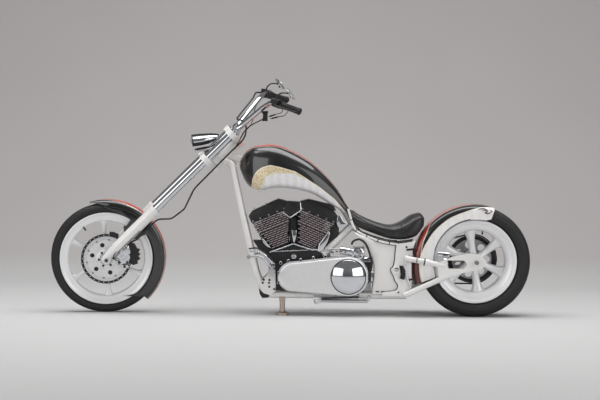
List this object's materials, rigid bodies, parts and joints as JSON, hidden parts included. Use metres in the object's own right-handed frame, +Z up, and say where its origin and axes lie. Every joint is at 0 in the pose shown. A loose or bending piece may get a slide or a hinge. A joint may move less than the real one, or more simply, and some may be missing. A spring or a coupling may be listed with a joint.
{
  "type": "chopper motorcycle",
  "caption": "Long low chopper motorcycle with raked fork, V-twin engine, teardrop tank, wide rear tyre, folded side stand and a fixed support post under the frame.",
  "frame": {"origin": "centre of the machine's bounding box on the floor", "axes": "+X to the rear, -Y the rider's left, +Z up"},
  "size_m": [2.9481, 0.9228, 1.4582],
  "materials": {
    "tyre": "matt",
    "chrome": "polished",
    "pearl_white": "gloss",
    "gloss_black": "gloss",
    "engine_black": "satin",
    "satin_aluminium": "satin",
    "steel": "brushed",
    "black_rubber": "matt",
    "black_leather": "semi-gloss",
    "black_metal": "satin"
  },
  "bodies": {
    "frame": {"backbone": "pearl_white", "downtubes": "pearl_white", "lower_rails": "pearl_white", "front_plates": "pearl_white", "oil_tank": "pearl_white", "pivot_plates": "pearl_white", "swingarm": "pearl_white", "rear_fender": "pearl_white", "fuel_tank": "gloss_black", "seat": "black_leather", "crankcase": "engine_black", "cylinder_front": "engine_black", "cylinder_rear": "engine_black", "rocker_front": "engine_black", "rocker_rear": "engine_black", "gearbox": "satin_aluminium", "primary_cover": "satin_aluminium", "clutch_dome": "chrome", "starter": "chrome", "cam_cover": "chrome", "air_cleaner": "chrome", "exhaust_pipes": "chrome", "foot_controls": "chrome", "drive_belt": "black_rubber", "rear_axle": "steel", "support_post": "steel"},
    "fork": {"triple_clamps": "chrome", "fork_tubes": "chrome", "fork_sliders": "pearl_white", "front_axle": "steel", "handlebar": "chrome", "grips": "black_rubber", "hand_controls": "black_metal", "mirrors": "gloss_black", "headlamp": "chrome", "front_fender": "gloss_black", "front_caliper": "chrome", "brake_hose": "black_rubber"},
    "front_wheel": {"front_tyre": "tyre", "front_rim": "chrome", "front_rotor": "steel"},
    "rear_wheel": {"rear_tyre": "tyre", "rear_rim": "chrome", "rear_pulley": "black_metal"},
    "side_stand": {"side_stand": "chrome"}
  },
  "joints": [
    {"name": "steering", "type": "hinge", "parent": "frame", "child": "fork", "pos_m": [-1.09266, 0, 0.29416], "axis": [0.7071, 0, 0.7071], "range_deg": [-38, 22]},
    {"name": "front_wheel_spin", "type": "hinge", "parent": "fork", "child": "front_wheel", "pos_m": [-1.13611, -0.00863, 0.33754], "axis": [-0.0984, 0.9903, 0.0984], "continuous": true},
    {"name": "rear_wheel_spin", "type": "hinge", "parent": "frame", "child": "rear_wheel", "pos_m": [1.1335, 0, 0.341], "axis": [0, 1, 0], "continuous": true},
    {"name": "side_stand_swing", "type": "hinge", "parent": "frame", "child": "side_stand", "pos_m": [0.1635, -0.122, 0.094], "axis": [0, -0.2198, 0.9755], "range_deg": [-95, 0]}
  ]
}
